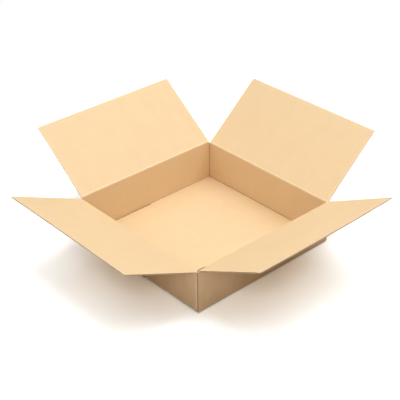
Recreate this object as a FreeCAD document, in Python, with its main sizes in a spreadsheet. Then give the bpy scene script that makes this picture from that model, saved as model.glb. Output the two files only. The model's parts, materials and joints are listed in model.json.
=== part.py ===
import FreeCAD, Part
import math
import os
import re
from enum import IntEnum

import Sketcher

# An open slotted carton of single-wall corrugated board, in millimetres.
# The origin is the middle of its underside, +Z is up, the front wall faces -Y and the right wall +X.
# The body of the carton is one folded sheet: four walls, four bottom flaps and a glued joint tab.
# Its four lid flaps turn on their scores, and a strip of tape holds the bottom shut.

DRIVING_SIZES = (
    ("inside_width", 400.0, "clear width between the left and right walls"),
    ("inside_length", 400.0, "clear length between the front and back walls"),
    ("inside_depth", 96.5, "from the bottom's upper layer to the lid's lower layer, folded shut"),
    ("board_thickness", 3.0, "single-wall corrugated board"),
    ("layer_gap", 0.3, "air between two flaps that fold over each other"),
    ("flap_side_gap", 1.0, "from the side edge of a folded flap to the wall beside it"),
    ("meeting_gap", 1.0, "between the free edges of two facing flaps, folded shut"),
    ("score_clearance", 0.3, "between the rolled root of a lid flap and the top of its wall"),
    ("open_limit", 118.0, "how far a lid flap turns outwards from upright, in degrees"),
    ("front_tilt", 65.5, "how far the front lid flap leans outwards, in degrees"),
    ("right_tilt", 62.8, "how far the right lid flap leans outwards, in degrees"),
    ("back_tilt", 49.6, "how far the back lid flap leans outwards, in degrees"),
    ("left_tilt", 52.8, "how far the left lid flap leans outwards, in degrees"),
    ("bottom_lift", 0.6, "how far the back bottom flap springs up from flat, in degrees"),
    ("fold_radius", 2.5, "outside radius where two walls fold into each other"),
    ("foot_radius", 2.0, "outside radius where a wall folds into its bottom flap"),
    ("tab_width", 30.0, "the joint tab, from the front wall along the right wall"),
    ("tab_taper", 8.0, "how much each end of the joint tab slopes in"),
    ("tab_end_gap", 1.5, "from the ends of the joint tab to the folds above and below it"),
    ("tab_fold_radius", 2.0, "outside radius of the fold that turns the joint tab in"),
    ("cut_edge_setback", 2.2, "how far the right wall's cut edge stays behind the front face"),
    ("trim_margin", 1.0, "how far the cuts that trim the walls reach past them"),
    ("tape_width", 48.0, "packing tape"),
    ("tape_thickness", 0.1, "packing tape, pressed flush into the board"),
    ("tape_tail", 45.0, "how far the tape runs up the front and back walls"),
    ("tape_bend_radius", 3.0, "inside radius of the tape where it turns up"),
)

WORKED_OUT_SIZES = (
    ("board_half", "board_thickness / 2"),
    ("inside_half_x", "inside_width / 2"),
    ("inside_half_y", "inside_length / 2"),
    ("outside_half_x", "inside_half_x + board_thickness"),
    ("outside_half_y", "inside_half_y + board_thickness"),
    ("meeting_half", "meeting_gap / 2"),
    ("flap_half_x", "inside_half_x - flap_side_gap"),
    ("flap_half_y", "inside_half_y - flap_side_gap"),
    ("layer_step", "board_thickness + layer_gap"),
    ("floor_height", "layer_step + board_thickness"),
    ("low_score", "floor_height + inside_depth + board_half"),
    ("high_score", "low_score + layer_step"),
    ("score_x", "inside_half_x + board_half"),
    ("score_y", "inside_half_y + board_half"),
    ("reach_x", "score_x - meeting_half"),
    ("reach_y", "score_y - meeting_half"),
    ("root_room", "board_half + score_clearance"),
    ("open_fall", "open_limit - 90"),
    ("bevel_start", "board_half - root_room * tan(open_fall / 2)"),
    ("bevel_end", "board_thickness + trim_margin"),
    ("bevel_drop", "(root_room + (bevel_end - board_half) * sin(open_fall)) / cos(open_fall)"),
    ("lift_sine", "sin(bottom_lift)"),
    ("lift_cosine", "cos(bottom_lift)"),
    ("lifted_length", "inside_half_y - meeting_half"),
    ("tab_low", "floor_height + tab_end_gap"),
    ("tab_high", "low_score - root_room - tab_end_gap"),
    ("tape_half", "tape_width / 2"),
    ("tape_half_y", "outside_half_y + tape_thickness"),
)

HAIR = 0.01
LEVEL = "0 * board_half"


class Spot(IntEnum):
    """How a sketch numbers its own origin and the points of a line or an arc."""

    ORIGIN = -1
    START = 1
    END = 2
    CENTRE = 3


class Turn(IntEnum):
    """How far each wall is turned from the front one, in degrees."""

    FRONT = 0
    RIGHT = 90
    BACK = 180
    LEFT = 270


doc = FreeCAD.newDocument("carton")
sheet = doc.addObject("Spreadsheet::Sheet", "Sizes")


def fill_sheet():
    """Write the driving sizes as numbers and the sizes that follow from them as formulas."""
    row = 0
    for alias, value, meaning in DRIVING_SIZES:
        row += 1
        sheet.set(f"A{row}", meaning)
        sheet.set(f"B{row}", str(value))
        sheet.setAlias(f"B{row}", alias)
    for alias, formula in WORKED_OUT_SIZES:
        row += 1
        sheet.set(f"A{row}", alias.replace("_", " "))
        sheet.set(f"B{row}", f"={formula}")
        sheet.setAlias(f"B{row}", alias)
    doc.recompute()


def from_sheet(expression):
    """Name the sheet before each size in an expression."""
    return re.sub(r"[a-z][a-z_]*", r"Sizes.\g<0>", expression)


def size(expression):
    """Work an expression of sizes out to a number."""
    return sheet.evalExpression(from_sheet(expression))


def origin_plane(body, role):
    """Find one of a body's own origin planes."""
    for feature in body.Origin.OriginFeatures:
        if feature.Role == role:
            return feature
    raise ValueError(role)


def new_sketch(body, name, plane, offset=None, lean=None):
    """Start a sketch on a plane of the body, offset along its normal or leaning about it if need be."""
    sketch = body.newObject("Sketcher::SketchObject", name)
    sketch.AttachmentSupport = [(origin_plane(body, plane), "")]
    sketch.MapMode = "FlatFace"
    if offset:
        sketch.setExpression("AttachmentOffset.Base.z", from_sheet(offset))
    if lean:
        sketch.setExpression("AttachmentOffset.Rotation.Angle", from_sheet(lean))
    return sketch


def bind(sketch, kind, geometry, value, *points):
    """Add a constraint whose value is an expression of sizes."""
    index = sketch.addConstraint(Sketcher.Constraint(kind, *points, *geometry, size(value)))
    sketch.setExpression(f"Constraints[{index}]", from_sheet(value))


def place(sketch, geometry, point, x, y):
    """Place a point of the sketch at a pair of expressions."""
    bind(sketch, "DistanceX", (geometry, point), x, Spot.ORIGIN, Spot.START)
    bind(sketch, "DistanceY", (geometry, point), y, Spot.ORIGIN, Spot.START)


def draw_round_corner(sketch, before, after, corner, arrival, departure):
    """Join two square-set lines by an arc inside their corner."""
    x, y, radius = corner
    inwards = departure - arrival
    centre_x = f"{x} + ({radius})" if inwards.x > 0 else f"{x} - ({radius})"
    centre_y = f"{y} + ({radius})" if inwards.y > 0 else f"{y} - ({radius})"
    centre = FreeCAD.Vector(size(centre_x), size(centre_y), 0)
    circle = Part.Circle(centre, FreeCAD.Vector(0, 0, 1), size(radius))
    from_centre = {Spot.START: departure * -1, Spot.END: arrival}
    turns_left = arrival.x * departure.y - arrival.y * departure.x > 0
    first, last = (Spot.START, Spot.END) if turns_left else (Spot.END, Spot.START)
    angles = [math.atan2(from_centre[end].y, from_centre[end].x) for end in (first, last)]
    arc = sketch.addGeometry(Part.ArcOfCircle(circle, *angles), False)
    arc_in, arc_out = (Spot.START, Spot.END) if turns_left else (Spot.END, Spot.START)
    sketch.addConstraint(Sketcher.Constraint("Tangent", before, Spot.END, arc, arc_in))
    sketch.addConstraint(Sketcher.Constraint("Tangent", arc, arc_out, after, Spot.START))
    place(sketch, arc, Spot.CENTRE, centre_x, centre_y)
    bind(sketch, "Radius", (arc,), radius)


def draw_outline(sketch, corners):
    """Draw a closed outline through pairs of expressions; a third one rounds its corner."""
    spots = [FreeCAD.Vector(size(corner[0]), size(corner[1]), 0) for corner in corners]
    radii = [size(corner[2]) if len(corner) > 2 else 0.0 for corner in corners]
    ways = [(after - spot).normalize() for spot, after in zip(spots, spots[1:] + spots[:1])]
    lines = []
    for number, way in enumerate(ways):
        following = (number + 1) % len(corners)
        start = spots[number] + way * radii[number]
        end = spots[following] - way * radii[following]
        lines.append(sketch.addGeometry(Part.LineSegment(start, end), False))
    for number, corner in enumerate(corners):
        before, after = lines[number - 1], lines[number]
        if radii[number]:
            draw_round_corner(sketch, before, after, corner, ways[number - 1], ways[number])
        else:
            sketch.addConstraint(Sketcher.Constraint("Coincident", before, Spot.END, after, Spot.START))
            place(sketch, after, Spot.START, corner[0], corner[1])


def mirrored(corners):
    """Turn an outline over about the sketch's vertical axis."""
    return [(f"-({corner[0]})", *corner[1:]) for corner in reversed(corners)]


def rectangle(low_x, low_y, high_x, high_y):
    """List the corners of an upright rectangle."""
    return [(low_x, low_y), (high_x, low_y), (high_x, high_y), (low_x, high_y)]


def finish_feature(body, feature, grows):
    """Recompute, and make sure that the feature really added or took away some board."""
    before = feature.BaseFeature.Shape.Volume if feature.BaseFeature else 0.0
    doc.recompute()
    change = feature.Shape.Volume - before
    if (change > HAIR) != grows or abs(change) < HAIR:
        raise ValueError(f"{body.Label} {feature.Name} changed the volume by {change:.3f}")


def pad(body, sketch, length, both_ways=False):
    """Pad a sketch, along its normal or half to each side."""
    feature = body.newObject("PartDesign::Pad", f"{sketch.Name}_pad")
    feature.Profile = sketch
    feature.SideType = "Symmetric" if both_ways else "One side"
    feature.setExpression("Length", from_sheet(length))
    finish_feature(body, feature, grows=True)


def cut_through(body, sketch):
    """Cut a sketch right through the body, to both sides of its plane."""
    feature = body.newObject("PartDesign::Pocket", f"{sketch.Name}_cut")
    feature.Profile = sketch
    feature.SideType = "Symmetric"
    feature.Type = "ThroughAll"
    finish_feature(body, feature, grows=False)


def cut_upwards(body, sketch, depth):
    """Cut a sketch of the underside up into the body."""
    feature = body.newObject("PartDesign::Pocket", f"{sketch.Name}_cut")
    feature.Profile = sketch
    feature.Reversed = True
    feature.setExpression("Length", from_sheet(depth))
    finish_feature(body, feature, grows=False)


def trim_wall_tops(body, name, plane, inside_half, score):
    """Cut a facing pair of walls off below their scores, bevelled to let the flaps fold right back."""
    corners = [
        (inside_half, f"{score} - root_room"),
        (f"{inside_half} + bevel_start", f"{score} - root_room"),
        (f"{inside_half} + bevel_end", f"{score} - bevel_drop"),
        (f"{inside_half} + bevel_end", "high_score + board_thickness"),
        (inside_half, "high_score + board_thickness"),
    ]
    sketch = new_sketch(body, name, plane)
    draw_outline(sketch, corners)
    draw_outline(sketch, mirrored(corners))
    cut_through(body, sketch)


def trim_feet(body, name, plane, inside_half, outside_half, height):
    """Round the folds of a facing pair of walls into their bottom flaps, and clear what is below."""
    corners = [
        (inside_half, f"{height} - layer_step"),
        (f"{outside_half} + trim_margin", f"{height} - layer_step"),
        (f"{outside_half} + trim_margin", f"{height} + 2 * foot_radius"),
        (outside_half, f"{height} + 2 * foot_radius"),
        (outside_half, height, "foot_radius"),
        (inside_half, height),
    ]
    sketch = new_sketch(body, name, plane)
    draw_outline(sketch, corners)
    draw_outline(sketch, mirrored(corners))
    cut_through(body, sketch)


def make_walls(body):
    """Raise the four walls and trim them at their scores and at their feet."""
    ring = new_sketch(body, "wall_ring", "XY_Plane")
    draw_outline(ring, [
        ("-outside_half_x", "-outside_half_y", "fold_radius"),
        ("inside_half_x", "-outside_half_y", "tab_fold_radius"),
        ("inside_half_x", "cut_edge_setback - outside_half_y"),
        ("outside_half_x", "cut_edge_setback - outside_half_y"),
        ("outside_half_x", "outside_half_y", "fold_radius"),
        ("-outside_half_x", "outside_half_y", "fold_radius"),
    ])
    draw_outline(ring, rectangle("-inside_half_x", "-inside_half_y", "inside_half_x", "inside_half_y"))
    pad(body, ring, "high_score")
    trim_wall_tops(body, "side_wall_tops", "XZ_Plane", "inside_half_x", "high_score")
    trim_wall_tops(body, "front_back_tops", "YZ_Plane", "inside_half_y", "low_score")
    trim_feet(body, "side_feet", "XZ_Plane", "inside_half_x", "outside_half_x", LEVEL)
    trim_feet(body, "front_back_feet", "YZ_Plane", "inside_half_y", "outside_half_y", "layer_step")


def make_bottom(body):
    """Fold in the four bottom flaps, the front and back ones over the left and right ones."""
    outer = new_sketch(body, "outer_bottom_flaps", "XY_Plane")
    right = rectangle("meeting_half", "-flap_half_y", "inside_half_x", "flap_half_y")
    draw_outline(outer, right)
    draw_outline(outer, mirrored(right))
    pad(body, outer, "board_thickness")
    front = new_sketch(body, "front_bottom_flap", "YZ_Plane")
    draw_outline(front, rectangle("-inside_half_y", "layer_step", "-meeting_half", "floor_height"))
    pad(body, front, "2 * flap_half_x", both_ways=True)
    back = new_sketch(body, "back_bottom_flap", "YZ_Plane")
    edge_y = "inside_half_y - lifted_length * lift_cosine"
    edge_z = "layer_step + lifted_length * lift_sine"
    draw_outline(back, [
        ("inside_half_y", "floor_height"),
        (f"{edge_y} + board_thickness * lift_sine", f"{edge_z} + board_thickness * lift_cosine"),
        (edge_y, edge_z),
        ("inside_half_y", "layer_step"),
    ])
    pad(body, back, "2 * flap_half_x", both_ways=True)


def make_joint_tab(body):
    """Glue the front wall's tab to the inside of the right wall."""
    tab = new_sketch(body, "joint_tab", "YZ_Plane", offset="inside_half_x - board_thickness")
    draw_outline(tab, [
        ("-inside_half_y", "tab_low"),
        ("tab_width - inside_half_y", "tab_low + tab_taper"),
        ("tab_width - inside_half_y", "tab_high - tab_taper"),
        ("-inside_half_y", "tab_high"),
    ])
    pad(body, tab, "board_thickness")


def make_carton_body():
    """Build the folded sheet of walls and bottom flaps."""
    body = doc.addObject("PartDesign::Body", "carton_body")
    make_walls(body)
    make_bottom(body)
    make_joint_tab(body)
    bed = new_sketch(body, "tape_bed", "XY_Plane")
    draw_outline(bed, rectangle("-tape_half", "-outside_half_y", "tape_half", "outside_half_y"))
    cut_upwards(body, bed, "tape_thickness")
    return body


def make_lid_flap(name, half_width, reach, tilt, hinge, turn):
    """Build one lid flap leaning out from its score, and set it on its wall."""
    body = doc.addObject("PartDesign::Body", name)
    root = new_sketch(body, f"{name}_root", "YZ_Plane")
    root.addGeometry(Part.Circle(FreeCAD.Vector(), FreeCAD.Vector(0, 0, 1), size("board_half")), False)
    root.addConstraint(Sketcher.Constraint("Coincident", 0, Spot.CENTRE, Spot.ORIGIN, Spot.START))
    bind(root, "Radius", (0,), "board_half")
    pad(body, root, f"2 * {half_width}", both_ways=True)
    panel = new_sketch(body, f"{name}_panel", "YZ_Plane", lean=tilt)
    draw_outline(panel, rectangle("-board_half", LEVEL, "board_half", reach))
    pad(body, panel, f"2 * {half_width}", both_ways=True)
    place_on_wall = FreeCAD.Rotation(FreeCAD.Vector(0, 0, 1), turn)
    body.Placement = FreeCAD.Placement(FreeCAD.Vector(), place_on_wall)
    for direction, expression in zip("xyz", hinge):
        body.setExpression(f"Placement.Base.{direction}", from_sheet(expression))
    return body


def make_lid_flaps():
    """Build the four lid flaps: the front and back ones fold in first, the side ones over them."""
    along_x = ("flap_half_x", "reach_y")
    along_y = ("flap_half_y", "reach_x")
    return [
        make_lid_flap("front_flap", *along_x, "front_tilt", (LEVEL, "-score_y", "low_score"), Turn.FRONT),
        make_lid_flap("right_flap", *along_y, "right_tilt", ("score_x", LEVEL, "high_score"), Turn.RIGHT),
        make_lid_flap("back_flap", *along_x, "back_tilt", (LEVEL, "score_y", "low_score"), Turn.BACK),
        make_lid_flap("left_flap", *along_y, "left_tilt", ("-score_x", LEVEL, "high_score"), Turn.LEFT),
    ]


def make_bottom_tape():
    """Run the tape along the seam of the outer bottom flaps and up the front and back walls."""
    body = doc.addObject("PartDesign::Body", "bottom_tape")
    strip = new_sketch(body, "tape_strip", "YZ_Plane")
    bend_outside = "tape_bend_radius + tape_thickness"
    draw_outline(strip, [
        ("-tape_half_y", "tape_tail"),
        ("-tape_half_y", LEVEL, bend_outside),
        ("tape_half_y", LEVEL, bend_outside),
        ("tape_half_y", "tape_tail"),
        ("outside_half_y", "tape_tail"),
        ("outside_half_y", "tape_thickness", "tape_bend_radius"),
        ("-outside_half_y", "tape_thickness", "tape_bend_radius"),
        ("-outside_half_y", "tape_tail"),
    ])
    pad(body, strip, "tape_width", both_ways=True)
    return body


def check_model(pieces):
    """Stop if any object failed to compute, or any piece is not one sound solid."""
    for item in doc.Objects:
        if "Invalid" in item.State or "Error" in item.State:
            raise ValueError(f"{item.Label} failed: {item.State}")
    for piece in pieces:
        shape = piece.Shape
        if shape.isNull() or not shape.isValid() or len(shape.Solids) != 1:
            raise ValueError(f"{piece.Label} is not one valid solid")


def export_parts(pieces):
    """Write each piece to its own file."""
    os.makedirs("parts", exist_ok=True)
    for piece in pieces:
        piece.Shape.exportStep(f"parts/{piece.Label}.step")
        box = piece.Shape.BoundBox
        print(f"{piece.Label}: {piece.Shape.Volume:.0f} mm3, z {box.ZMin:.2f} to {box.ZMax:.2f}")


fill_sheet()
parts = [make_carton_body(), *make_lid_flaps(), make_bottom_tape()]
doc.recompute()
check_model(parts)
export_parts(parts)
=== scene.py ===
import json
import logging
import math
from dataclasses import dataclass
from enum import Enum, IntEnum

import bmesh
import bpy
import numpy as np
from mathutils import Matrix, Vector


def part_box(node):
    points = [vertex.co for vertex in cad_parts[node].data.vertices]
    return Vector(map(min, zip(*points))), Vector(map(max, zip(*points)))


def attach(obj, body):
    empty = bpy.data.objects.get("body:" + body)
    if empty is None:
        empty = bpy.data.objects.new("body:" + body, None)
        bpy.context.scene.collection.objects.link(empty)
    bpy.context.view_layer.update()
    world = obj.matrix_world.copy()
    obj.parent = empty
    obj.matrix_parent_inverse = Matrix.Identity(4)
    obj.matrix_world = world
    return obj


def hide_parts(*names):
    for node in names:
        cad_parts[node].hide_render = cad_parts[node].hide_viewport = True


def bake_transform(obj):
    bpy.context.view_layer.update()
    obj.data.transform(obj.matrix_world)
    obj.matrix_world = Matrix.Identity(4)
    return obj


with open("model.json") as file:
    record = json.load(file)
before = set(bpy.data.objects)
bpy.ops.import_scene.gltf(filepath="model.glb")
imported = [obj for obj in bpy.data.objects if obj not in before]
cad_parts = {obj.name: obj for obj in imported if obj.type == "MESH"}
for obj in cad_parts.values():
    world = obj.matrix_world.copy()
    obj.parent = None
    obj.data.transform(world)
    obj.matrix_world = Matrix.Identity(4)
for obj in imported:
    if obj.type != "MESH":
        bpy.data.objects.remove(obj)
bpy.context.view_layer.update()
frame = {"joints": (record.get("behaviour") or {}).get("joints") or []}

LOG = logging.getLogger("carton")
CARTON_BODY = "carton"
CHART = "sheet"
# Mask of rubbing and painted highlight: pale rims along the flaps' edges and the outside of folds.
RUB_AND_HIGHLIGHT = "wear"
# Mask of painted shade along the concave side of folds.
CREASE_SHADE = "pressed"
RIGHT_ANGLE = math.pi / 2
UP = np.array([0.0, 0.0, 1.0])
WHITE = (1.0, 1.0, 1.0, 1.0)
Array = np.ndarray
Socket = bpy.types.NodeSocket
Tint = tuple[int, int, int]


class Face(IntEnum):
    """Which finish a face of the board takes, as its material slot in the mesh."""

    INSIDE = 0
    OUTSIDE = 1
    CUT = 2
    # A dark finish, used only at the joint: painted shade in the open flutes and on the flake's back.
    FLUTE = 3


class Side(Enum):
    """The four sides of the carton, in order round it as seen from above."""

    FRONT = 0
    RIGHT = 1
    BACK = 2
    LEFT = 3

    @property
    def word(self) -> str:
        """Return the side's name as the frame's joints and nodes spell it."""
        return self.name.lower()

    @property
    def turn(self) -> float:
        """Return the side's heading, as a turn from the front about the vertical axis."""
        return self.value * RIGHT_ANGLE

    @property
    def across(self) -> Array:
        """Return the unit vector along the wall, from left to right as seen from outside."""
        return np.array([math.cos(self.turn), math.sin(self.turn), 0.0]).round(9)

    @property
    def outward(self) -> Array:
        """Return the unit vector that points away from the carton."""
        return np.array([math.sin(self.turn), -math.cos(self.turn), 0.0]).round(9)


def smooth(share: Array) -> Array:
    """Ease a share from 0 to 1, flat at both ends.

    Args:
        share: Any numbers; what is below 0 or above 1 is held there.

    Returns:
        The eased shares.
    """
    held = np.clip(share, 0.0, 1.0)
    return held * held * (3.0 - 2.0 * held)


def bell(distance: Array) -> Array:
    """Return a bump that is 1 at distance 0 and 0 from distance 1 on."""
    return np.clip(1.0 - distance * distance, 0.0, None) ** 2


def fade(distance: Array, reach: float) -> Array:
    """Return a share that falls from 1 at distance 0, to a third of it at the reach."""
    return np.exp(-np.abs(distance) / reach)


@dataclass(frozen=True)
class Board:
    """Single-wall corrugated board: two liners on a wavy medium, in metres.

    Attributes:
        thickness: Over both liners.
        liner: Thickness of each liner.
        medium: Thickness of the wavy paper between them.
        pitch: From one flute to the next.
        crush: Share of the thickness that is left on a score.
        pinch: Share of the thickness that is left at a cut edge.
        pinch_reach: How far in from a cut edge the board is pinched.
        wave_steps: Points that draw one flute.
    """

    thickness: float = 0.003
    liner: float = 0.0004
    medium: float = 0.0003
    pitch: float = 0.0065
    crush: float = 0.62
    pinch: float = 0.8
    pinch_reach: float = 0.007
    wave_steps: int = 10

    @property
    def half(self) -> float:
        """Return half the thickness."""
        return self.thickness / 2

    @property
    def wave_height(self) -> float:
        """Return how far the medium's middle swings to each side."""
        return self.half - self.liner - self.medium / 2

    def squeeze(self, distance: Array) -> Array:
        """Return the share of the thickness left at a distance from a score, in score widths."""
        return 1.0 - (1.0 - self.crush) * bell(distance)

    def pinched(self, distance: Array) -> Array:
        """Return the share of the thickness left at a distance in from a cut edge."""
        return 1.0 - (1.0 - self.pinch) * bell(np.clip(distance, 0.0, None) / self.pinch_reach)

    def wave(self, across: Array) -> Array:
        """Return the medium's height at places across the flutes."""
        return self.wave_height * np.cos(2 * math.pi * across / self.pitch)


BOARD = Board()


@dataclass(frozen=True)
class CartonSizes:
    """Sizes of the carton, in metres, most of which the frame gives.

    Attributes:
        outside: From the middle of the carton to the outside of a wall.
        flap_half: Half the width of every flap.
        meeting_half: What a lid flap is short of the carton's middle when it is folded shut.
        seam_half: What a bottom flap is short of it.
        layer_step: Rise from one layer of folded flaps to the next.
        low_score: Height of the scores of the front and back lid flaps.
    """

    outside: float
    flap_half: float
    meeting_half: float
    seam_half: float
    layer_step: float
    low_score: float

    @property
    def score(self) -> float:
        """Return the distance from the carton's middle to the middle of a wall's thickness."""
        return self.outside - BOARD.half

    @classmethod
    def from_frame(cls) -> "CartonSizes":
        """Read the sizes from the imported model.

        Returns:
            The carton's sizes.
        """
        heights = {joint["name"]: joint["pos_m"][2] for joint in frame["joints"]}
        flap_low, flap_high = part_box("front_flap")
        carton_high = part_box("carton_body")[1]
        return cls(
            outside=carton_high.x,
            flap_half=(flap_high.x - flap_low.x) / 2,
            meeting_half=0.0005,
            seam_half=0.00003,
            layer_step=heights["right_flap_fold"] - heights["front_flap_fold"],
            low_score=heights["front_flap_fold"],
        )


SIZES = CartonSizes.from_frame()


@dataclass(frozen=True)
class Warp:
    """How a lid flap departs from flat, in metres at its free edge.

    Attributes:
        bow: How far the middle of the free edge stands out from its corners.
        curl: How far the whole free edge bends outwards.
        twist: How far one corner bends outwards and the other one inwards.
    """

    bow: float = 0.0
    curl: float = 0.0
    twist: float = 0.0


class Sheet:
    """A bent sheet, whose places are given by how far across, up and out they are.

    Each kind says in place and chart where they lie in the frame and on the flat sheet.
    """

    def wear(self, across: Array, up: Array, out: Array) -> Array:
        """Return how much rubbing and painted highlight lighten the sheet, from 0 to 1: here not at all."""
        return 0.0 * across * up * out

    def press(self, across: Array, up: Array, out: Array) -> Array:
        """Return how much painted shade darkens the sheet at its scores, from 0 to 1: here not at all."""
        return 0.0 * across * up * out


@dataclass(frozen=True)
class SideSheet(Sheet):
    """One side's strip of board: bottom flap, wall and lid flap, with both folds in between.

    A place on it is given by how far it is across the wall, how far up the sheet from the
    lid's score, and how far out through the thickness from the board's middle.

    Attributes:
        side: Which side of the carton it is.
        score_height: Height of the lid's score.
        tilt: How far the lid flap leans out from upright, in radians.
        foot_height: Height of the middle of the board where it folds into the bottom.
        foot_turn: How far the bottom flap is folded in, in radians.
        warp: How the lid flap departs from flat.
        lid_bend: Half the width of the bend at the lid's score.
        foot_bend: Half the width of the bend at the foot.
        fold_wear: How much rubbing and painted highlight the inside of the lid's score shows, from 0 to 1.
        edge_wear: How much rubbing and painted highlight the side edges of the flaps show, from 0 to 1.
        rub_reach: How far the rubbing and painted highlight of a cut edge reach in.
        crease_reach: How far the rubbing and painted highlight, and the painted shade, of a score reach.
        foot_reach: How far the rubbing and painted highlight at the foot reach.
    """

    side: Side
    score_height: float
    tilt: float
    foot_height: float
    foot_turn: float
    warp: Warp
    lid_bend: float = 0.0038
    foot_bend: float = 0.003
    fold_wear: float = 0.8
    edge_wear: float = 0.85
    rub_reach: float = 0.0024
    crease_reach: float = 0.0016
    foot_reach: float = 0.0026

    @property
    def wall(self) -> float:
        """Return the length of sheet between the two scores."""
        return self.score_height - self.foot_height

    @property
    def reach(self) -> float:
        """Return the length of the lid flap from its score to its free edge."""
        return SIZES.score - SIZES.meeting_half

    @property
    def bottom_reach(self) -> float:
        """Return the length of the bottom flap from its score to its free edge."""
        return SIZES.score - SIZES.seam_half

    def place(self, across: Array, up: Array, out: Array) -> Array:
        """Find where places of the sheet lie in the frame.

        Args:
            across: Distance along the wall from its middle.
            up: Distance up the sheet from the lid's score.
            out: Distance out from the middle of the board's thickness.

        Returns:
            The places, with their three coordinates last.
        """
        lid_share = smooth((up + self.lid_bend) / (2 * self.lid_bend))
        foot_share = smooth((self.foot_bend - up - self.wall) / (2 * self.foot_bend))
        crushed = BOARD.squeeze(up / self.lid_bend) * BOARD.squeeze((up + self.wall) / self.foot_bend)
        out = out * crushed * BOARD.pinched(self.reach - up) + self.bend_out(across, up)
        in_lid = up > -self.wall / 2
        angle = np.where(in_lid, self.tilt * lid_share, self.foot_turn * foot_share)
        rise = np.where(in_lid, up, up + self.wall)
        level = np.where(in_lid, self.score_height, self.foot_height)
        outward = SIZES.score + out * np.cos(angle) + rise * np.sin(angle)
        height = level - out * np.sin(angle) + rise * np.cos(angle)
        ground = outward[..., None] * self.side.outward + across[..., None] * self.side.across
        return ground + height[..., None] * UP

    def bend_out(self, across: Array, up: Array) -> Array:
        """Return how far the warp of the lid flap moves places outwards."""
        along = np.clip((up - self.lid_bend) / (self.reach - self.lid_bend), 0.0, 1.0)
        aside = across / SIZES.flap_half
        lifted = self.warp.bow * (1.0 - aside**2) + self.warp.curl + self.warp.twist * aside
        return lifted * along * along

    def chart(self, across: Array, up: Array, out: Array) -> Array:
        """Return the places as the unfolded blank has them, for the materials."""
        around = across + self.side.value * 2 * SIZES.score
        return np.stack([around, up + SIZES.low_score - self.score_height, out], axis=-1)

    def wear(self, across: Array, up: Array, out: Array) -> Array:
        """Return how much rubbing and painted highlight lighten the sheet, from 0 to 1, most where a fold
        stretches it.
        """
        in_flap = (up > 0) | (up < -self.wall)
        side_edge = np.where(in_flap, self.edge_wear, 0.0)
        side_edge = side_edge * fade(SIZES.flap_half - np.abs(across), self.rub_reach)
        free_edge = fade(self.reach - up, self.rub_reach)
        lid_fold = np.where(out < 0, self.fold_wear, 0.0) * fade(up - self.lid_bend / 2, self.crease_reach)
        foot_fold = np.where(out > 0, 1.0, 0.0) * fade(up + self.wall, self.foot_reach)
        return np.maximum.reduce(np.broadcast_arrays(side_edge, free_edge, lid_fold, foot_fold))

    def press(self, across: Array, up: Array, out: Array) -> Array:
        """Return how much painted shade darkens the sheet on the concave side of each of its folds."""
        lid_fold = np.where(out > 0, 1.0, 0.0) * fade(up, self.crease_reach)
        foot_fold = np.where(out < 0, 1.0, 0.0) * fade(up + self.wall, self.crease_reach)
        return np.maximum(lid_fold, foot_fold) + 0.0 * across


@dataclass(frozen=True)
class LinerFlake(SideSheet):
    """The strip of inner liner that the glued tab holds upright while the lid flap folds out."""

    def place(self, across: Array, up: Array, out: Array) -> Array:
        """Find where places of the flake lie: straight up from the wall, past the score."""
        ground = (SIZES.score + out)[..., None] * self.side.outward + across[..., None] * self.side.across
        return ground + (self.score_height + up)[..., None] * UP


@dataclass(frozen=True)
class CornerSheet(Sheet):
    """The board round an upright fold between two walls, or round the fold of the joint tab.

    Attributes:
        side: The wall that the fold starts from, going round the carton.
        top: Height of the end of the slot above the fold.
        inset: How far the fold's middle is from the corner, back along that wall.
        bend: Half the width of the bend.
        rub_reach: How far the rubbing and painted highlight on the outside reach.
        crease_reach: How far the painted shade on the inside reaches.
        slot_reach: How far down from the slot's end the painted shade reaches too.
    """

    side: Side
    top: float
    inset: float = 0.0
    bend: float = 0.0025
    rub_reach: float = 0.002
    crease_reach: float = 0.0014
    slot_reach: float = 0.0016

    def place(self, across: Array, up: Array, out: Array) -> Array:
        """Find where places of the fold lie in the frame.

        Args:
            across: Distance round the corner from the fold's middle.
            up: Height above the ground.
            out: Distance out from the middle of the board's thickness.

        Returns:
            The places, with their three coordinates last.
        """
        angle = RIGHT_ANGLE * smooth((across + self.bend) / (2 * self.bend))
        out = out * BOARD.squeeze(across / self.bend)
        middle = (SIZES.score - self.inset) * self.side.across + SIZES.score * self.side.outward
        along = across * np.cos(angle) + out * np.sin(angle)
        outward = out * np.cos(angle) - across * np.sin(angle)
        spot = middle + along[..., None] * self.side.across + outward[..., None] * self.side.outward
        return spot + up[..., None] * UP

    def chart(self, across: Array, up: Array, out: Array) -> Array:
        """Return the places as the unfolded blank has them, for the materials."""
        around = across + (2 * self.side.value + 1) * SIZES.score
        return np.stack([around, up - SIZES.low_score, out], axis=-1)

    def wear(self, across: Array, up: Array, out: Array) -> Array:
        """Return how much rubbing and painted highlight lighten the outside of the fold, from 0 to 1."""
        return np.where(out > 0, 1.0, 0.0) * fade(across, self.rub_reach) + 0.0 * up

    def press(self, across: Array, up: Array, out: Array) -> Array:
        """Return how much painted shade darkens the inside of the fold, along its score and below the
        slot's end.
        """
        pressed = np.maximum(fade(across, self.crease_reach), fade(self.top - up, self.slot_reach))
        return np.where(out < 0, pressed, 0.0)


def link_scene(piece: bpy.types.Object) -> bpy.types.Object:
    """Link an object to the scene and return it."""
    bpy.context.scene.collection.objects.link(piece)
    return piece


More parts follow.
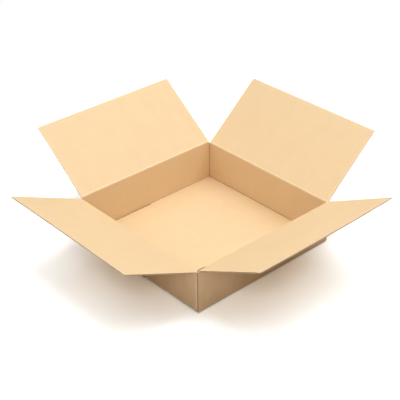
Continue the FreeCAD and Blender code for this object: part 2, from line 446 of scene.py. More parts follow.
class MeshDraft:
    """Gathers closed slabs of board into one mesh."""

    def __init__(self) -> None:
        """Start with nothing in the mesh."""
        self.points: list[Array] = []
        self.charts: list[Array] = []
        self.masks: dict[str, list[Array]] = {RUB_AND_HIGHLIGHT: [], CREASE_SHADE: []}
        self.quads: list[Array] = []
        self.slots: list[Array] = []
        self.count = 0

    def add_slab(
        self,
        sheet: Sheet,
        across: Array,
        up: Array,
        inner: Array | float,
        outer: Array | float,
        slots: tuple[Face, Face, Face] = (Face.INSIDE, Face.OUTSIDE, Face.CUT),
    ) -> None:
        """Add the closed slab between two depths of a sheet.

        Args:
            sheet: The sheet that says where its places lie.
            across: Stations across the sheet.
            up: Stations up the sheet, or one row of stations for each of them.
            inner: Depth of the slab's inner face, one number or one for each station across.
            outer: Depth of its outer face.
            slots: Finishes of the inner face, the outer face and the rim.
        """
        rows = up if up.ndim == 2 else np.repeat(up[:, None], len(across), axis=1)
        columns = np.broadcast_to(across, rows.shape)
        for depth in (inner, outer):
            depths = np.broadcast_to(depth, rows.shape)
            self.points.append(sheet.place(columns, rows, depths).reshape(-1, 3))
            self.charts.append(sheet.chart(columns, rows, depths).reshape(-1, 3))
            self.masks[RUB_AND_HIGHLIGHT].append(sheet.wear(columns, rows, depths).reshape(-1))
            self.masks[CREASE_SHADE].append(sheet.press(columns, rows, depths).reshape(-1))
        numbers = self.count + np.arange(rows.size).reshape(rows.shape)
        self.add_grid(numbers, slots[0])
        self.add_grid(numbers + rows.size, slots[1])
        rim = np.concatenate([numbers[0], numbers[1:, -1], numbers[-1, -2::-1], numbers[-2:0:-1, 0]])
        ring = np.append(rim, rim[0])
        walls = np.stack([ring[:-1], ring[1:], ring[1:] + rows.size, ring[:-1] + rows.size], axis=1)
        self.quads.append(walls)
        self.slots.append(np.full(len(walls), int(slots[2])))
        self.count += 2 * rows.size

    def add_grid(self, numbers: Array, slot: Face) -> None:
        """Add the faces of a grid of numbered points, all of one finish."""
        corners = [numbers[:-1, :-1], numbers[:-1, 1:], numbers[1:, 1:], numbers[1:, :-1]]
        quads = np.stack([corner.ravel() for corner in corners], axis=1)
        self.quads.append(quads)
        self.slots.append(np.full(len(quads), int(slot)))

    def build(
        self, name: str, materials: list[bpy.types.Material], sharp: float = 35.0
    ) -> bpy.types.Object:
        """Make the mesh and its object.

        Args:
            name: The object's name.
            materials: The finishes, in the order of the slots.
            sharp: Angle between faces, in degrees, from which their edge stays sharp.

        Returns:
            The new object, linked to the scene.
        """
        mesh = bpy.data.meshes.new(name)
        quads = np.concatenate(self.quads)
        mesh.from_pydata(np.concatenate(self.points).tolist(), [], quads.tolist())
        mesh.polygons.foreach_set("material_index", np.concatenate(self.slots).astype(np.int32))
        chart = mesh.attributes.new(CHART, "FLOAT_VECTOR", "POINT")
        chart.data.foreach_set("vector", np.concatenate(self.charts).astype(np.float32).ravel())
        for mask_name, values in self.masks.items():
            mask = mesh.attributes.new(mask_name, "FLOAT", "POINT")
            mask.data.foreach_set("value", np.concatenate(values).astype(np.float32))
        shell = bmesh.new()
        shell.from_mesh(mesh)
        bmesh.ops.recalc_face_normals(shell, faces=shell.faces)
        shell.to_mesh(mesh)
        shell.free()
        mesh.shade_smooth()
        mesh.set_sharp_from_angle(angle=math.radians(sharp))
        for material in materials:
            mesh.materials.append(material)
        return link_scene(bpy.data.objects.new(name, mesh))


# Stations in from an edge, close enough to draw how its rubbing and painted highlight fade.
EDGE_STEPS = np.array([0.0, 0.0012, 0.003, 0.0055, 0.009])


def edge_stations(low: float, high: float, middle: int = 9) -> Array:
    """Space stations over a width, close together near its edges where the rubbing and painted highlight
    fade.

    Args:
        low: Where the width starts.
        high: Where it ends.
        middle: How many stations share the middle.

    Returns:
        The stations in rising order.
    """
    inside = np.linspace(low, high, middle + 2)[1:-1]
    stations = np.unique(np.concatenate([low + EDGE_STEPS, inside, high - EDGE_STEPS]))
    return stations[(stations >= low) & (stations <= high)]


def bend_stations(middle: float, reach: float, count: int = 13) -> Array:
    """Space stations evenly over a bend."""
    return np.linspace(middle - reach, middle + reach, count)


def flute_stations(low: float, high: float) -> Array:
    """Space stations closely enough across the flutes to draw their waves."""
    steps = max(2, math.ceil((high - low) / BOARD.pitch * BOARD.wave_steps))
    return np.linspace(low, high, steps + 1)


def add_open_board(
    draft: MeshDraft,
    sheet: Sheet,
    across: tuple[float, float],
    up: Array,
    core: Face = Face.CUT,
) -> None:
    """Add board whose cut edges show its two liners and the flutes between them.

    Args:
        draft: The mesh that takes it.
        sheet: The sheet that it is part of.
        across: Where it starts and ends across the sheet.
        up: Stations up the sheet, or for each of them its values at the two ends across.
        core: Finish of the board's inside.
    """

    def rows(stations: Array) -> Array:
        """Return the stations up the sheet that belong to some stations across it."""
        shares = (stations - across[0]) / (across[1] - across[0])
        return up if up.ndim == 1 else up[:, :1] + (up[:, 1:] - up[:, :1]) * shares

    half, liner = BOARD.half, BOARD.liner
    plain, fine = edge_stations(*across), flute_stations(*across)
    wave, medium = BOARD.wave(fine), BOARD.medium / 2
    draft.add_slab(sheet, plain, rows(plain), half - liner, half, (core, Face.OUTSIDE, Face.CUT))
    draft.add_slab(sheet, plain, rows(plain), -half, liner - half, (Face.INSIDE, core, Face.CUT))
    draft.add_slab(sheet, fine, rows(fine), wave - medium, wave + medium, (core,) * 3)


class Graph:
    """Adds nodes to a material or to a node group, and links them as they are added."""

    def __init__(self, tree: bpy.types.NodeTree) -> None:
        """Work on one tree."""
        self.tree = tree

    def feed(self, node: bpy.types.Node, sockets: dict[str | int, object]) -> None:
        """Give a node's sockets what each takes: another node's output to link, or a value."""
        for socket, value in sockets.items():
            if isinstance(value, Socket):
                self.tree.links.new(value, node.inputs[socket])
            else:
                node.inputs[socket].default_value = value

    def add(
        self, kind: str, sockets: dict[str | int, object] | None = None, **settings: object
    ) -> bpy.types.Node:
        """Add one node.

        Args:
            kind: The node's type.
            sockets: What its sockets take, as feed has it.
            settings: The node's own settings.

        Returns:
            The node.
        """
        node = self.tree.nodes.new(kind)
        for name, value in settings.items():
            setattr(node, name, value)
        self.feed(node, sockets or {})
        return node

    def maths(self, operation: str, first: object, second: object = 0.0) -> Socket:
        """Add a Math node and return its result."""
        return self.add("ShaderNodeMath", {0: first, 1: second}, operation=operation).outputs[0]

    def times(self, first: object, second: object) -> Socket:
        """Multiply two values."""
        return self.maths("MULTIPLY", first, second)

    def plus(self, first: object, second: object) -> Socket:
        """Add two values."""
        return self.maths("ADD", first, second)

    def spread(
        self, value: object, low: float, high: float, to_low: float = 0.0, to_high: float = 1.0
    ) -> Socket:
        """Map a range of values smoothly onto another one."""
        sockets = {"Value": value, "From Min": low, "From Max": high}
        sockets |= {"To Min": to_low, "To Max": to_high}
        return self.add("ShaderNodeMapRange", sockets, interpolation_type="SMOOTHSTEP").outputs["Result"]

    def mix(self, share: object, first: object, second: object) -> Socket:
        """Mix two colours by a share."""
        return self.add("ShaderNodeMix", {0: share, 6: first, 7: second}, data_type="RGBA").outputs[2]

    def stretch(self, vector: Socket, scale: tuple[float, float, float]) -> Socket:
        """Scale a vector by its three directions."""
        return self.add("ShaderNodeVectorMath", {0: vector, 1: scale}, operation="MULTIPLY").outputs[0]

    def noise(self, vector: Socket, scale: float, detail: float = 3.0, rough: float = 0.5) -> Socket:
        """Add a noise texture and return its value."""
        sockets = {"Vector": vector, "Scale": scale, "Detail": detail, "Roughness": rough}
        return self.add("ShaderNodeTexNoise", sockets).outputs["Fac"]

    def flute_bars(self, sheet: Socket) -> Socket:
        """Return a wave over the sheet that follows the flutes behind its liner, from -1 to 1."""
        across = self.add("ShaderNodeSeparateXYZ", {0: sheet}).outputs["X"]
        return self.maths("SINE", self.times(across, 2 * math.pi / BOARD.pitch))

    def attribute(self, name: str, output: str) -> Socket:
        """Read an attribute of the mesh."""
        return self.add("ShaderNodeAttribute", attribute_name=name).outputs[output]


def start_group(
    name: str, inputs: dict[str, str], outputs: dict[str, str]
) -> tuple[Graph, bpy.types.Node, bpy.types.Node]:
    """Start a shader node group.

    Args:
        name: The group's name.
        inputs: Each input's name and socket type.
        outputs: Each output's name and socket type.

    Returns:
        A graph to fill, the group's input node and its output node.
    """
    tree = bpy.data.node_groups.new(name, "ShaderNodeTree")
    for direction, sockets in (("INPUT", inputs), ("OUTPUT", outputs)):
        for socket, kind in sockets.items():
            tree.interface.new_socket(socket, in_out=direction, socket_type=kind)
    graph = Graph(tree)
    return graph, graph.add("NodeGroupInput"), graph.add("NodeGroupOutput")


FLOAT, COLOUR, VECTOR = "NodeSocketFloat", "NodeSocketColor", "NodeSocketVector"


@dataclass(frozen=True)
class PaperGrain:
    """The scales of the paper's pulp, fibres and wear, in features for each metre.

    Attributes:
        pulp: Clouds of the pulp.
        fibre: Long fibres, in the sheet's three directions.
        hair: Short fibres, likewise.
        flecks: Cells of which some hold a fleck.
        fleck_share: Share of those cells.
        bar_shade: How much painted light and shade the flute bars lay on the paper's colour.
        scuffs: Patches of the rubbing and painted highlight.
        scuff_grain: Their grain.
    """

    pulp: float = 26.0
    fibre: tuple[float, float, float] = (260.0, 1500.0, 700.0)
    hair: tuple[float, float, float] = (900.0, 380.0, 900.0)
    flecks: float = 420.0
    fleck_share: float = 0.22
    bar_shade: float = 0.012
    scuffs: float = 160.0
    scuff_grain: float = 1500.0

    def build_kraft(self) -> bpy.types.NodeTree:
        """Build the look of unbleached paper: cloudy pulp, fibres, flecks and flute bars.

        Returns:
            The node group.
        """
        inputs = {"Sheet": VECTOR, "Tone": COLOUR, "Deep": COLOUR, "Pale": COLOUR}
        inputs |= {"Cloud": FLOAT, "Fleck": FLOAT, "Bars": FLOAT}
        outputs = {"Colour": COLOUR, "Roughness": FLOAT, "Height": FLOAT}
        graph, given, result = start_group("kraft_paper", inputs, outputs)
        sheet, deep = given.outputs["Sheet"], given.outputs["Deep"]
        cloud = graph.noise(graph.stretch(sheet, (1.0, 0.6, 1.0)), self.pulp, 4.0, 0.55)
        cloud = graph.times(graph.spread(cloud, 0.3, 0.72), given.outputs["Cloud"])
        fibre = graph.noise(graph.stretch(sheet, self.fibre), 1.0, 3.0, 0.6)
        hair = graph.noise(graph.stretch(sheet, self.hair), 1.0, 2.0, 0.5)
        cells = {"Vector": sheet, "Scale": self.flecks, "Randomness": 1.0}
        spots = graph.add("ShaderNodeTexVoronoi", cells).outputs
        draw = graph.add("ShaderNodeSeparateColor", {0: spots["Color"]}).outputs[0]
        chosen = graph.maths("LESS_THAN", draw, self.fleck_share)
        small = graph.spread(spots["Distance"], 0.24, 0.12)
        fleck = graph.times(graph.times(chosen, small), given.outputs["Fleck"])
        bars = graph.times(graph.flute_bars(sheet), given.outputs["Bars"])
        colour = graph.mix(cloud, given.outputs["Tone"], deep)
        colour = graph.mix(graph.spread(fibre, 0.5, 0.8, 0.0, 0.35), colour, given.outputs["Pale"])
        colour = graph.mix(graph.spread(hair, 0.62, 0.8, 0.0, 0.22), colour, deep)
        colour = graph.mix(fleck, colour, deep)
        # Painted light and shade of the flutes' ridges under the liner.
        shade = graph.plus(1.0, graph.times(bars, self.bar_shade))
        colour = graph.add("ShaderNodeVectorMath", {0: colour, 3: shade}, operation="SCALE").outputs[0]
        height = graph.times(fibre, 0.55)
        height = graph.plus(height, graph.times(hair, 0.25))
        height = graph.plus(height, graph.times(bars, 0.5))
        rough = graph.spread(fibre, 0.3, 0.8, 0.56, 0.72)
        graph.feed(result, {"Colour": colour, "Roughness": rough, "Height": height})
        return graph.tree

    def build_scuffs(self) -> bpy.types.NodeTree:
        """Build the mask of rubbing and painted highlight along folds and edges, broken up as rubbing is.

        Returns:
            The node group.
        """
        inputs = {"Sheet": VECTOR, "Wear": FLOAT, "Amount": FLOAT}
        graph, given, result = start_group("scuffed_folds", inputs, {"Mask": FLOAT})
        patches = graph.noise(given.outputs["Sheet"], self.scuffs, 5.0, 0.65)
        grain = graph.noise(given.outputs["Sheet"], self.scuff_grain, 2.0, 0.5)
        grain = graph.times(grain, 0.45)
        broken = graph.plus(graph.times(patches, 1.1), grain)
        reach = graph.times(given.outputs["Wear"], broken)
        mask = graph.times(graph.spread(reach, 0.18, 0.75), given.outputs["Amount"])
        graph.feed(result, {"Mask": mask})
        return graph.tree


def srgb(red: int, green: int, blue: int) -> tuple[float, float, float, float]:
    """Turn a colour as screens write it, from 0 to 255, into the scene's linear one."""
    shares = [channel / 255 for channel in (red, green, blue)]
    linear = [share / 12.92 if share <= 0.04045 else ((share + 0.055) / 1.055) ** 2.4 for share in shares]
    return (*linear, 1.0)


def start_material(name: str) -> tuple[bpy.types.Material, Graph, bpy.types.Node]:
    """Start a material, and return it with its graph and its shader."""
    material = bpy.data.materials.new(name)
    material.use_nodes = True
    return material, Graph(material.node_tree), material.node_tree.nodes["Principled BSDF"]


@dataclass(frozen=True)
class PaperFinish:
    """A finish of unbleached paper.

    Attributes:
        name: The material's name.
        tone: The paper's own colour.
        deep: The colour of its darker pulp and flecks.
        pale: The colour of its paler fibres.
        worn: The colour where the surface shows rubbing and painted highlight.
        hollow: The colour of the painted shade deep in the concave side of a fold.
        cloud: How strongly the pulp clouds show.
        fleck: How strongly the flecks show.
        bars: How strongly the flutes behind show.
        scuff: How strongly folds and edges take the rubbing and painted highlight.
        crease: How far the paper turns to that painted shade colour there.
        relief: Depth of the surface's relief, in metres.
    """

    name: str
    tone: Tint
    deep: Tint
    pale: Tint
    worn: Tint
    hollow: Tint
    cloud: float = 0.3
    fleck: float = 0.5
    bars: float = 1.0
    scuff: float = 0.6
    crease: float = 0.6
    relief: float = 0.00012

    def build(self, kraft: bpy.types.NodeTree, scuffs: bpy.types.NodeTree) -> bpy.types.Material:
        """Make the material.

        Args:
            kraft: The paper's node group.
            scuffs: The node group of the rubbing and painted highlight along folds.

        Returns:
            The material.
        """
        material, graph, shader = start_material(self.name)
        sheet = graph.attribute(CHART, "Vector")
        sockets = {"Sheet": sheet, "Cloud": self.cloud, "Fleck": self.fleck, "Bars": self.bars}
        sockets |= {"Tone": srgb(*self.tone), "Deep": srgb(*self.deep), "Pale": srgb(*self.pale)}
        paper = graph.add("ShaderNodeGroup", node_tree=kraft)
        graph.feed(paper, sockets)
        rub_highlight_node = graph.add("ShaderNodeGroup", node_tree=scuffs)
        graph.feed(rub_highlight_node, {"Sheet": sheet, "Wear": graph.attribute(RUB_AND_HIGHLIGHT, "Fac"), "Amount": self.scuff})
        mask = rub_highlight_node.outputs["Mask"]
        # Painted shade: the concave side of each fold is darkened towards a dark crease colour.
        crease_shaded = graph.times(graph.attribute(CREASE_SHADE, "Fac"), self.crease)
        colour = graph.mix(crease_shaded, paper.outputs["Colour"], srgb(*self.hollow))
        # Rubbing and painted highlight: pale rims along edges and on the stretched side of folds.
        colour = graph.mix(mask, colour, srgb(*self.worn))
        height = graph.maths("SUBTRACT", paper.outputs["Height"], graph.times(mask, 0.3))
        bump = graph.add("ShaderNodeBump", {"Height": height, "Distance": self.relief, "Strength": 0.9})
        rough = paper.outputs["Roughness"]
        graph.feed(shader, {"Base Color": colour, "Roughness": rough, "Normal": bump.outputs["Normal"]})
        graph.feed(shader, {"Specular IOR Level": 0.4})
        return material


@dataclass(frozen=True)
class TapeFinish:
    """A finish of tan packing tape: a glossy film over a dull glue that has small dry patches.

    Attributes:
        name: The material's name.
        film: The tape's colour where it sticks fully.
        dry: Its colour over trapped air.
        gloss: Roughness of the film.
    """

    name: str
    film: Tint
    dry: Tint
    gloss: float = 0.24

    def build(self) -> bpy.types.Material:
        """Make the material and return it."""
        material, graph, shader = start_material(self.name)
        sheet, dry = graph.attribute(CHART, "Vector"), srgb(*self.dry)
        streaks = graph.noise(graph.stretch(sheet, (900.0, 24.0, 900.0)), 1.0, 3.0, 0.5)
        patches = graph.noise(graph.stretch(sheet, (220.0, 90.0, 220.0)), 1.0, 4.0, 0.6)
        colour = graph.mix(graph.spread(patches, 0.56, 0.74, 0.0, 0.5), srgb(*self.film), dry)
        colour = graph.mix(graph.spread(streaks, 0.45, 0.8, 0.0, 0.18), colour, dry)
        flutes = graph.times(graph.flute_bars(sheet), 0.25)
        height = graph.plus(graph.times(streaks, 0.4), flutes)
        bump = graph.add("ShaderNodeBump", {"Height": height, "Distance": 0.00012, "Strength": 0.7})
        rough = graph.spread(patches, 0.4, 0.75, self.gloss, self.gloss + 0.16)
        graph.feed(shader, {"Base Color": colour, "Roughness": rough, "Normal": bump.outputs["Normal"]})
        return material


# Each finish's tone, deep and pale colours, its colour of rubbing and painted highlight, its colour of
# painted crease shade, and what else sets it apart.
PAPERS = {
    Face.INSIDE: PaperFinish(
        "kraft_inside", (232, 202, 158), (206, 167, 118), (240, 216, 182), (253, 238, 212), (146, 104, 60),
        cloud=0.08, scuff=0.9,
    ),
    Face.OUTSIDE: PaperFinish(
        "kraft_outside", (242, 204, 158), (202, 162, 116), (242, 212, 172), (246, 220, 184), (150, 110, 66),
        cloud=0.2, scuff=0.7,
    ),
    Face.CUT: PaperFinish(
        "cut_flutes", (236, 206, 164), (204, 166, 118), (246, 222, 188), (250, 232, 202), (150, 110, 66),
        bars=0.0, scuff=0.2,
    ),
    # Painted shade: this dark finish colours the joint's open flutes and the flake's back.
    Face.FLUTE: PaperFinish(
        "flute_medium", (178, 138, 94), (140, 104, 66), (198, 160, 116), (204, 168, 126), (120, 86, 52),
        bars=0.0, scuff=0.1,
    ),
}


class Finishes:
    """The materials of the carton, built once and shared by its pieces."""

    def __init__(self) -> None:
        """Build the shared node groups and then the materials."""
        grain = PaperGrain()
        kraft, scuffs = grain.build_kraft(), grain.build_scuffs()
        self.paper = [PAPERS[face].build(kraft, scuffs) for face in Face]
        self.tape = TapeFinish("packing_film", film=(196, 150, 96), dry=(214, 174, 124)).build()


@dataclass
class LidSide:
    """One side of the carton with its lid flap.

    Attributes:
        sheet: The side's strip of board.
        finishes: The carton's materials.
        seam: Where the piece of wall ends and the piece of score starts, from the score.
        turn_share: Share of the bend on each side of the score whose ends are found; nothing turns the
            score with the lid flap.
        flake: Length and height of the liner that stays upright at the low end of the score.
        foot_trim: How much the bottom flap is cut back at its low end across.
    """

    sheet: SideSheet
    finishes: Finishes
    seam: float = 0.0062
    turn_share: float = 0.7
    flake: tuple[float, float] = (0.0, 0.0)
    foot_trim: float = 0.0

    @property
    def lid_body(self) -> str:
        """Return the name of the body that the lid flap is."""
        return f"{self.sheet.side.word}_lid"

    def build_lid(self) -> bpy.types.Object:
        """Build the lid flap beyond its score, with open flutes along its free edge."""
        draft = MeshDraft()
        plain = np.linspace(self.seam, self.sheet.reach - EDGE_STEPS[-1], 8)
        ups = np.concatenate([plain[:-1], self.sheet.reach - EDGE_STEPS[::-1]])
        add_open_board(draft, self.sheet, (-SIZES.flap_half, SIZES.flap_half), ups)
        piece = draft.build(f"{self.sheet.side.word}_lid_board", self.finishes.paper)
        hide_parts(f"{self.sheet.side.word}_flap")
        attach(piece, self.lid_body)
        return piece

    def build_score(self) -> bpy.types.Object:
        """Build the score, which bends between the wall and the lid flap."""
        draft = MeshDraft()
        bend = bend_stations(0.0, self.sheet.lid_bend, 17)
        ups = np.concatenate([[-self.seam], bend, [self.seam]])
        across = edge_stations(-SIZES.flap_half, SIZES.flap_half)
        draft.add_slab(self.sheet, across, ups, -BOARD.half, BOARD.half)
        if all(self.flake):
            self.add_flake(draft)
        piece = draft.build(f"{self.sheet.side.word}_lid_score", self.finishes.paper)
        middle, turn = np.array([0.0]), self.turn_share * self.sheet.lid_bend
        ends = [self.sheet.place(middle, np.array([up]), middle)[0] for up in (-turn, turn)]
        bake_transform(piece)
        return piece

    def add_flake(self, draft: MeshDraft) -> None:
        """Add the strip of liner that stays upright beside the low end of the score."""
        length, height = self.flake
        shares = np.linspace(0.0, 1.0, 9)
        across, tops = shares * length - SIZES.flap_half, height * (1.0 - shares**3)
        rows = np.stack([np.full_like(tops, -BOARD.half), tops])
        # The flake's outer face takes the dark flute finish: painted shade, for the dark slit beside the
        # joint.
        faces = (Face.INSIDE, Face.FLUTE, Face.CUT)
        flake = LinerFlake(**vars(self.sheet))
        draft.add_slab(flake, across, rows, -BOARD.half, BOARD.liner - BOARD.half, faces)

    def add_wall(self, draft: MeshDraft, low: float, high: float) -> None:
        """Add the wall between its two folds, over a stretch of its width."""
        ups = np.array([-self.sheet.wall + self.sheet.foot_bend, -self.seam])
        draft.add_slab(self.sheet, edge_stations(low, high), ups, -BOARD.half, BOARD.half)

    def add_bottom(self, draft: MeshDraft) -> None:
        """Add the fold at the foot of the wall and the bottom flap."""
        sheet, half = self.sheet, SIZES.flap_half
        foot = -sheet.wall
        bend = bend_stations(foot, sheet.foot_bend)
        draft.add_slab(sheet, edge_stations(-half, half), bend, -BOARD.half, BOARD.half)
        ups = np.append(foot - sheet.bottom_reach + EDGE_STEPS, foot - sheet.foot_bend)
        add_open_board(draft, sheet, (self.foot_trim - half, half), ups)


@dataclass
class CartonShell:
    """The folded sheet that stays put: walls, bottom flaps, upright folds and the glued joint.

    Attributes:
        sides: The four sides, in order round the carton.
        finishes: The carton's materials.
        slot_height: Height of the ends of the slots between the lid flaps.
        tab_width: Width of the joint tab.
        tab_taper: How much each end of the tab slopes in.
        tab_gap: From the tab's ends to the folds.
        cut_setback: How far the right wall's cut edge stays behind the front face.
        slot_gap: From the lower layer of bottom flaps to the ends of the slots between them.
        layer_gap: Room under the lower layer of lid flaps when they are folded shut.
    """

    sides: list[LidSide]
    finishes: Finishes
    slot_height: float = SIZES.low_score - 0.001
    tab_width: float = 0.03
    tab_taper: float = 0.008
    tab_gap: float = 0.0015
    cut_setback: float = 0.0022
    slot_gap: float = 0.0006
    layer_gap: float = 0.0003

    @property
    def slot_foot(self) -> float:
        """Return the height of the ends of the slots between the bottom flaps."""
        return SIZES.layer_step + self.slot_gap

    def add_upright_fold(self, draft: MeshDraft, side: Side) -> None:
        """Add a plain upright fold at the end of one side."""
        sheet = CornerSheet(side, self.slot_height)
        reach = SIZES.score - SIZES.flap_half
        heights = np.append(self.slot_foot, self.slot_height - EDGE_STEPS[::-1])
        draft.add_slab(sheet, bend_stations(0.0, reach), heights, -BOARD.half, BOARD.half)

    def add_joint(self, draft: MeshDraft) -> None:
        """Add the fold of the joint tab, the tab itself, and the cut edge of the wall it is glued to."""
        front, right = self.sides[Side.FRONT.value].sheet, self.sides[Side.RIGHT.value].sheet
        fold = CornerSheet(Side.FRONT, self.slot_height, inset=BOARD.thickness)
        wall_low = front.foot_height + front.foot_bend
        wall_high = front.score_height - self.sides[Side.FRONT.value].seam
        whole = bend_stations(0.0, fold.bend)
        outer_part = np.linspace(SIZES.flap_half - SIZES.score + BOARD.thickness, fold.bend, 7)
        for stations, low, high in (
            (whole, wall_low, wall_high),
            (outer_part, self.slot_foot, wall_low),
            (outer_part, wall_high, self.slot_height),
        ):
            draft.add_slab(fold, stations, np.array([low, high]), -BOARD.half, BOARD.half)
        low = SIZES.layer_step + BOARD.thickness + self.tab_gap
        high = SIZES.low_score - BOARD.half - self.layer_gap - self.tab_gap
        root, tip = self.tab_taper * (fold.bend - BOARD.half) / self.tab_width, self.tab_taper
        rows = [[low + root, low + tip], [high - root, high - tip]]
        add_open_board(draft, fold, (fold.bend, self.tab_width + BOARD.half), np.array(rows))
        cut = -(SIZES.outside - self.cut_setback)
        edge = np.array([self.slot_foot, self.slot_height]) - right.score_height
        # The cut edge's core takes the dark flute finish: painted shade between its liners.
        add_open_board(draft, right, (cut, -SIZES.flap_half), edge, Face.FLUTE)

    def build(self) -> bpy.types.Object:
        """Build the whole folded sheet as one piece and return it."""
        draft = MeshDraft()
        for lid_side in self.sides:
            is_front = lid_side.sheet.side is Side.FRONT
            tab_start = SIZES.score - BOARD.thickness - CornerSheet.bend
            lid_side.add_wall(draft, -SIZES.flap_half, tab_start if is_front else SIZES.flap_half)
            lid_side.add_bottom(draft)
            if not is_front:
                self.add_upright_fold(draft, lid_side.sheet.side)
        self.add_joint(draft)
        piece = draft.build("carton_shell", self.finishes.paper)
        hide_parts("carton_body")
        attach(piece, CARTON_BODY)
        return piece


@dataclass
class SeamTape:
    """The tape along the bottom seam and up the front and back walls.

    Attributes:
        finishes: The carton's materials.
        width: Width of the tape.
        film: Thickness of the film.
        tail: How far it runs up each wall.
        bend: Radius of its turns.
    """

    finishes: Finishes
    width: float = 0.048
    film: float = 0.0001
    tail: float = 0.045
    bend: float = 0.0032

    def centre_line(self) -> Array:
        """Trace the tape from the front wall round the bottom to the back wall.

        Returns:
            Places and outward directions along the tape, as rows of y, z, out y and out z.
        """
        half, bend = SIZES.outside, self.bend
        ways = [(math.cos(turn), -math.sin(turn)) for turn in np.linspace(0.0, RIGHT_ANGLE, 9)]
        corner = [(half + bend * (y - 1.0), bend * (1.0 + z), y, z) for y, z in ways]
        tail = [(half, rise, 1.0, 0.0) for rise in np.linspace(self.tail, bend, 7)[:-1]]
        run = [(y, 0.0, 0.0, -1.0) for y in np.linspace(half - bend, 0.0, 13)[1:]]
        back = np.array(tail + corner + run)
        front = back[:-1][::-1] * np.array([-1.0, 1.0, -1.0, 1.0])
        return np.concatenate([back, front])

    def build(self) -> bpy.types.Object:
        """Build the tape as a thin closed strip and return it."""
        line = self.centre_line()
        columns = np.linspace(-self.width / 2, self.width / 2, 9)
        numbers = np.arange(len(line), dtype=float)
        draft = MeshDraft()
        draft.add_slab(TapeSheet(line), columns, numbers, 0.0, self.film, (Face.INSIDE,) * 3)
        piece = draft.build("seam_tape", [self.finishes.tape])
        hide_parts("bottom_tape")
        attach(piece, CARTON_BODY)
        return piece


@dataclass(frozen=True)
class TapeSheet(Sheet):
    """The tape's film as a sheet whose stations up are the numbers of its line's points.

    Attributes:
        line: The tape's line, as rows of y, z, out y and out z.
    """

    line: Array

    def place(self, across: Array, up: Array, out: Array) -> Array:
        """Find where places of the film lie in the frame."""
        rows = self.line[up.astype(int)]
        spots = rows[..., :2] + out[..., None] * rows[..., 2:]
        return np.concatenate([across[..., None], spots], axis=-1)

    def chart(self, across: Array, up: Array, out: Array) -> Array:
        """Return the places along the unrolled film, for the material."""
        steps = np.hypot(*np.diff(self.line[:, :2], axis=0).T)
        run = np.concatenate([[0.0], np.cumsum(steps)])
        return np.stack([across, run[up.astype(int)], out], axis=-1)


@dataclass(frozen=True)
class Lamp:
    """A square soft lamp.

    Attributes:
        name: The lamp's name.
        place: Where it hangs.
        size: Side of its face.
        power: Its power in watts.
        aim: The place that it faces.
    """

    name: str
    place: tuple[float, float, float]
    size: float
    power: float
    aim: tuple[float, float, float] = (0.0, 0.0, 0.1)

    def hang(self) -> None:
        """Hang the lamp in the studio."""
        data = bpy.data.lights.new(self.name, "AREA")
        data.shape = "SQUARE"
        data.size = self.size
        data.energy = self.power
        lamp = link_scene(bpy.data.objects.new(self.name, data))
        lamp.visible_camera = False
        facing = (Vector(self.aim) - Vector(self.place)).to_track_quat("-Z", "Y").to_matrix().to_4x4()
        lamp.matrix_world = Matrix.Translation(self.place) @ facing


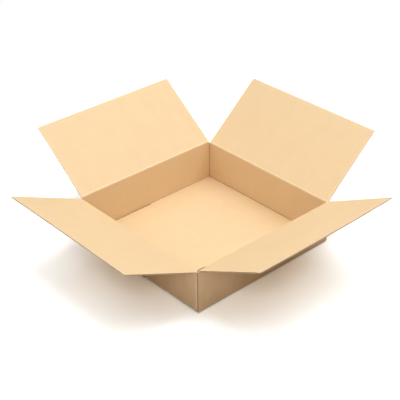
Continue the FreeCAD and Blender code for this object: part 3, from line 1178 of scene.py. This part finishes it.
@dataclass
class Studio:
    """The floor, the lamps, the surroundings and the camera.

    Attributes:
        lamps: The lamps.
        ambient: Strength of the even light from all around.
        floor_size: Side of the square floor.
        floor_drop: How far the floor is under the carton.
        floor_tone: How light the floor is.
        floor_lift: How much lighter the camera sees the floor, shadows and all, in each colour.
        floor_fade: How far out the camera starts to see the floor as plain white, and sees only that.
        eye: Place of the camera.
        forward: The direction that it looks in.
        right: The direction to the right of its picture.
        lens: Focal length in millimetres for the sensor below.
        sensor: Width of the sensor in millimetres.
    """

    lamps: tuple[Lamp, ...] = (
        Lamp("ceiling_panel", (0.0, 0.0, 2.4), 4.0, 43.7),
        Lamp("ceiling_lamp", (0.0, 0.0, 2.39), 1.4, 19.0),
        Lamp("back_lamp", (0.7, 1.2, 2.1), 1.8, 20.0),
        Lamp("camera_lamp", (1.4, -1.4, 1.5), 0.6, 13.0),
        Lamp("left_lamp", (-1.5, -1.0, 1.8), 1.2, 9.0),
        Lamp("right_lamp", (1.2, 2.0, 0.9), 1.2, 1.5),
    )
    ambient: float = 0.03
    floor_size: float = 24.0
    floor_drop: float = 0.0004
    floor_tone: float = 0.72
    floor_lift: tuple[float, float, float] = (0.80, 0.88, 0.92)
    floor_fade: tuple[float, float] = (0.9, 1.7)
    eye: tuple[float, float, float] = (1.4840, -1.3244, 1.3276)
    forward: tuple[float, float, float] = (-0.6385, 0.5647, -0.5230)
    right: tuple[float, float, float] = (0.6685, 0.7436, -0.0133)
    lens: float = 91.32
    sensor: float = 36.0

    def build_floor(self) -> bpy.types.Object:
        """Build the white floor, which keeps the carton's shadow."""
        mesh = bpy.data.meshes.new("studio_floor")
        half, low = self.floor_size / 2, -self.floor_drop
        corners = [(-half, -half, low), (half, -half, low), (half, half, low), (-half, half, low)]
        mesh.from_pydata(corners, [], [(0, 1, 2, 3)])
        floor = link_scene(bpy.data.objects.new("studio_floor", mesh))
        material, graph, shader = start_material("studio_white")
        tone = (*(self.floor_tone,) * 3, 1.0)
        graph.feed(shader, {"Base Color": tone, "Roughness": 0.9, "Specular IOR Level": 0.1})
        path = graph.add("ShaderNodeLightPath")
        lift = graph.mix(path.outputs["Is Camera Ray"], (0.0, 0.0, 0.0, 1.0), (*self.floor_lift, 1.0))
        lifted = graph.add("ShaderNodeBsdfDiffuse", {"Color": lift})
        lit = graph.add("ShaderNodeAddShader", {0: shader.outputs[0], 1: lifted.outputs[0]})
        place = graph.add("ShaderNodeNewGeometry").outputs["Position"]
        away = graph.add("ShaderNodeVectorMath", {0: place}, operation="LENGTH").outputs["Value"]
        far = graph.times(graph.spread(away, *self.floor_fade), path.outputs["Is Camera Ray"])
        white = graph.add("ShaderNodeEmission", {"Color": WHITE, "Strength": 1.0})
        total = graph.add("ShaderNodeMixShader", {0: far, 1: lit.outputs[0], 2: white.outputs[0]})
        graph.feed(graph.tree.nodes["Material Output"], {"Surface": total.outputs[0]})
        mesh.materials.append(material)
        return floor

    def build_surroundings(self) -> None:
        """Set an even dim surrounding, which the camera itself sees as plain white."""
        world = bpy.data.worlds.new("studio_surroundings")
        world.use_nodes = True
        bpy.context.scene.world = world
        graph = Graph(world.node_tree)
        path = graph.add("ShaderNodeLightPath")
        rays = {0: path.outputs["Is Camera Ray"], 1: path.outputs["Is Transmission Ray"]}
        seen = graph.add("ShaderNodeMath", rays, operation="ADD", use_clamp=True).outputs[0]
        strength = graph.plus(graph.times(seen, 1.0 - self.ambient), self.ambient)
        backdrop = world.node_tree.nodes["Background"]
        graph.feed(backdrop, {"Color": WHITE, "Strength": strength})

    def build_camera(self) -> None:
        """Place the camera as the photograph was taken."""
        data = bpy.data.cameras.new("camera")
        data.sensor_width = self.sensor
        data.lens = self.lens
        data.clip_end = 100.0
        camera = link_scene(bpy.data.objects.new("camera", data))
        back = -Vector(self.forward).normalized()
        up = back.cross(Vector(self.right)).normalized()
        facing = Matrix((up.cross(back), up, back)).transposed().to_4x4()
        camera.matrix_world = Matrix.Translation(self.eye) @ facing
        bpy.context.scene.camera = camera

    def build(self) -> None:
        """Build the whole studio."""
        self.build_floor()
        for lamp in self.lamps:
            lamp.hang()
        self.build_surroundings()
        self.build_camera()
        bpy.context.scene.view_settings.view_transform = "Standard"


WARPS = {
    Side.FRONT: Warp(bow=-0.0008, curl=-0.0001),
    Side.RIGHT: Warp(bow=0.0015, curl=0.001, twist=-0.001),
    Side.BACK: Warp(bow=-0.0006, curl=-0.0003),
    Side.LEFT: Warp(bow=0.0007, curl=0.0001),
}
# How far the back bottom flap is short of lying flat.
BACK_FLAP_LIFT = math.radians(0.05)
# How far the front bottom flap is cut back at the left wall.
FRONT_FLAP_TRIM = 0.0016
# Length and height of the liner that stays upright above the joint tab.
JOINT_FLAKE = (0.026, 0.0031)
# The front and right scores are seen from their smooth side, and get little rubbing and painted highlight.
LITTLE_RUB_HIGHLIGHT, MUCH_RUB_HIGHLIGHT = 0.2, 0.8


def side_sheets() -> list[SideSheet]:
    """Read the four sides' scores and tilts from the frame's joints.

    Returns:
        The four strips of board, in order round the carton.
    """
    joints = {joint["name"]: joint for joint in frame["joints"]}
    sheets = []
    for side in Side:
        joint = joints[f"{side.word}_flap_fold"]
        is_upper_layer = side in (Side.FRONT, Side.BACK)
        sheets.append(
            SideSheet(
                side=side,
                score_height=joint["pos_m"][2],
                tilt=-math.radians(joint["range_deg"][0]) - RIGHT_ANGLE,
                foot_height=BOARD.half + (SIZES.layer_step if is_upper_layer else 0.0),
                foot_turn=RIGHT_ANGLE + (BACK_FLAP_LIFT if side is Side.BACK else 0.0),
                warp=WARPS[side],
                fold_wear=LITTLE_RUB_HIGHLIGHT if side in (Side.FRONT, Side.RIGHT) else MUCH_RUB_HIGHLIGHT,
            )
        )
    return sheets


def main() -> None:
    """Build the carton, its tape and the studio, and report each piece."""
    logging.basicConfig(level=logging.INFO, format="%(name)s: %(message)s")
    finishes = Finishes()
    sides = [LidSide(sheet, finishes) for sheet in side_sheets()]
    sides[Side.FRONT.value].foot_trim = FRONT_FLAP_TRIM
    sides[Side.RIGHT.value].flake = JOINT_FLAKE
    pieces = [CartonShell(sides, finishes).build(), SeamTape(finishes).build()]
    for lid_side in sides:
        pieces.append(lid_side.build_lid())
        pieces.append(lid_side.build_score())
    for piece in pieces:
        LOG.info("%s has %d faces", piece.name, len(piece.data.polygons))
    Studio().build()


if __name__ == "__main__":
    main()
